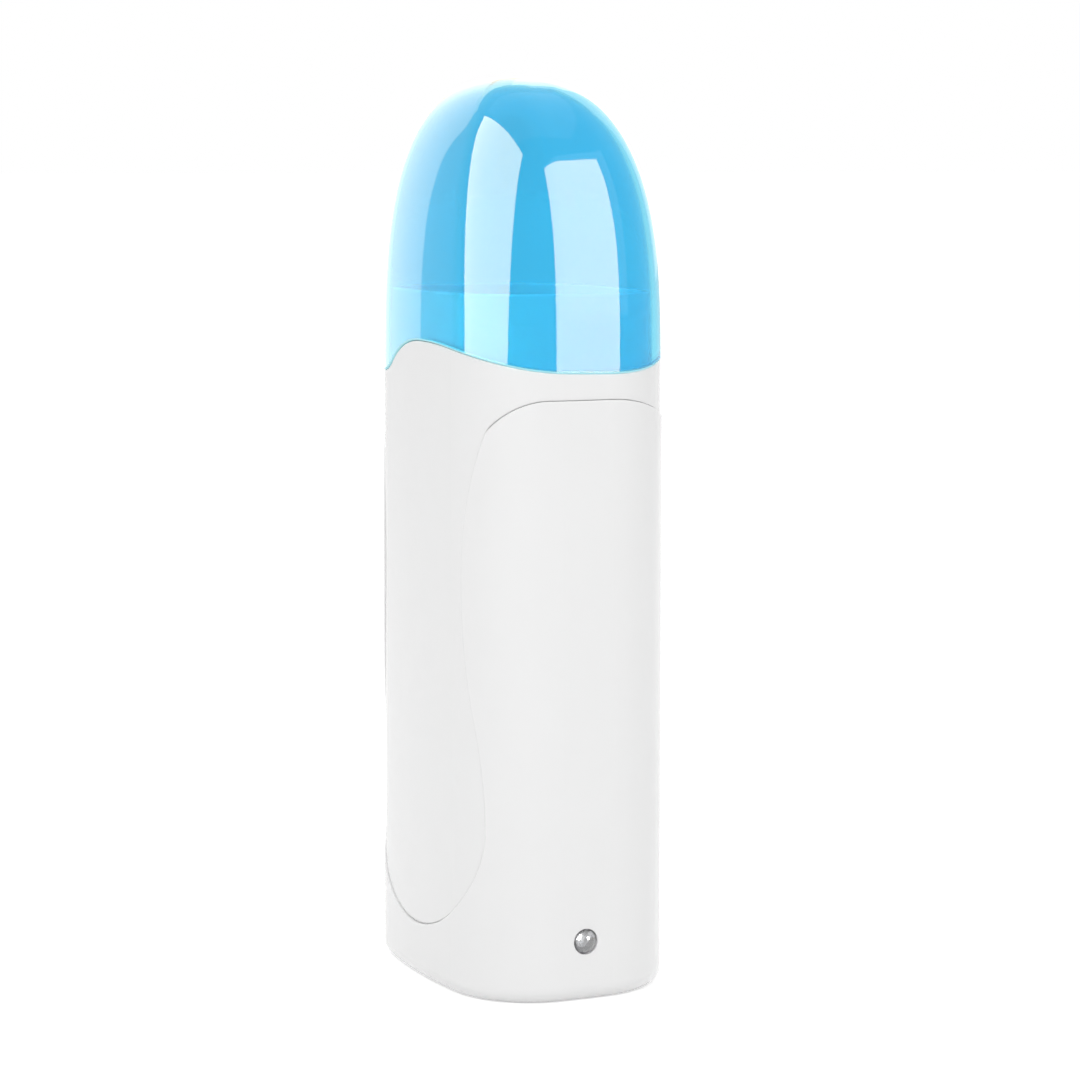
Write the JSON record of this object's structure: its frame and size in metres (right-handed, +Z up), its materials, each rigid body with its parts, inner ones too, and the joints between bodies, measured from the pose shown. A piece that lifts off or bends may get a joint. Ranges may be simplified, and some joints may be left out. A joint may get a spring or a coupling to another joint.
{
  "type": "roll on wax heater",
  "caption": "Hand-held roll-on wax warmer: white oval body with an S-shaped seam, a domed translucent blue lift-off cap, a heated cartridge well and an inlet underneath.",
  "frame": {"origin": "centre of the bounding box in plan, on the plane the base stands on", "axes": "+Z up through the cap, X across the wide face, -Y towards the wide front face with the bib, +X towards the narrow side with the indicator lamp"},
  "size_m": [0.0666, 0.048, 0.184],
  "materials": {
    "shell_white": "gloss",
    "cap_blue": "translucent gloss",
    "liner_grey": "moulded",
    "cover_white": "fine moulded",
    "plate_metal": "extruded",
    "film_amber": "smooth",
    "electrode_metal": "rolled",
    "stone_dark": "pressed",
    "mica_brown": "smooth",
    "spring_steel": "rolled",
    "screw_steel": "zinc plated",
    "fuse_metal": "tinned",
    "pin_plated": "nickel plated",
    "lamp_clear": "polished",
    "board_tan": "laminate",
    "resistor_body": "lacquered",
    "diode_body": "moulded",
    "wire_brown": "sleeved",
    "wire_blue": "sleeved",
    "wire_white": "sleeved"
  },
  "bodies": {
    "housing": {"front_housing": "shell_white", "grip_shell": "shell_white", "cartridge_well": "liner_grey", "heat_plate": "plate_metal", "heater_film": "film_amber", "inner_electrode": "electrode_metal", "ptc_stones": "stone_dark", "outer_electrode": "electrode_metal", "mica_sheet": "mica_brown", "heater_clamps": "spring_steel", "clamp_screws": "screw_steel", "cartridge_spring": "spring_steel", "spring_rivet": "plate_metal", "thermal_fuse": "fuse_metal", "base_cover": "cover_white", "base_screws": "screw_steel", "inlet_pins": "pin_plated", "led": "lamp_clear", "led_leads": "fuse_metal", "led_board": "board_tan", "led_resistor": "resistor_body", "led_diode": "diode_body", "pin_lugs": "fuse_metal", "live_wire": "wire_brown", "neutral_wire": "wire_blue", "tab_lugs": "fuse_metal", "lamp_wires": "wire_white"},
    "cap": {"cap": "cap_blue"}
  },
  "joints": [
    {"name": "cap_lift", "type": "slide", "parent": "housing", "child": "cap", "axis": [0, 0, 1], "range_m": [0, 0.06]}
  ]
}
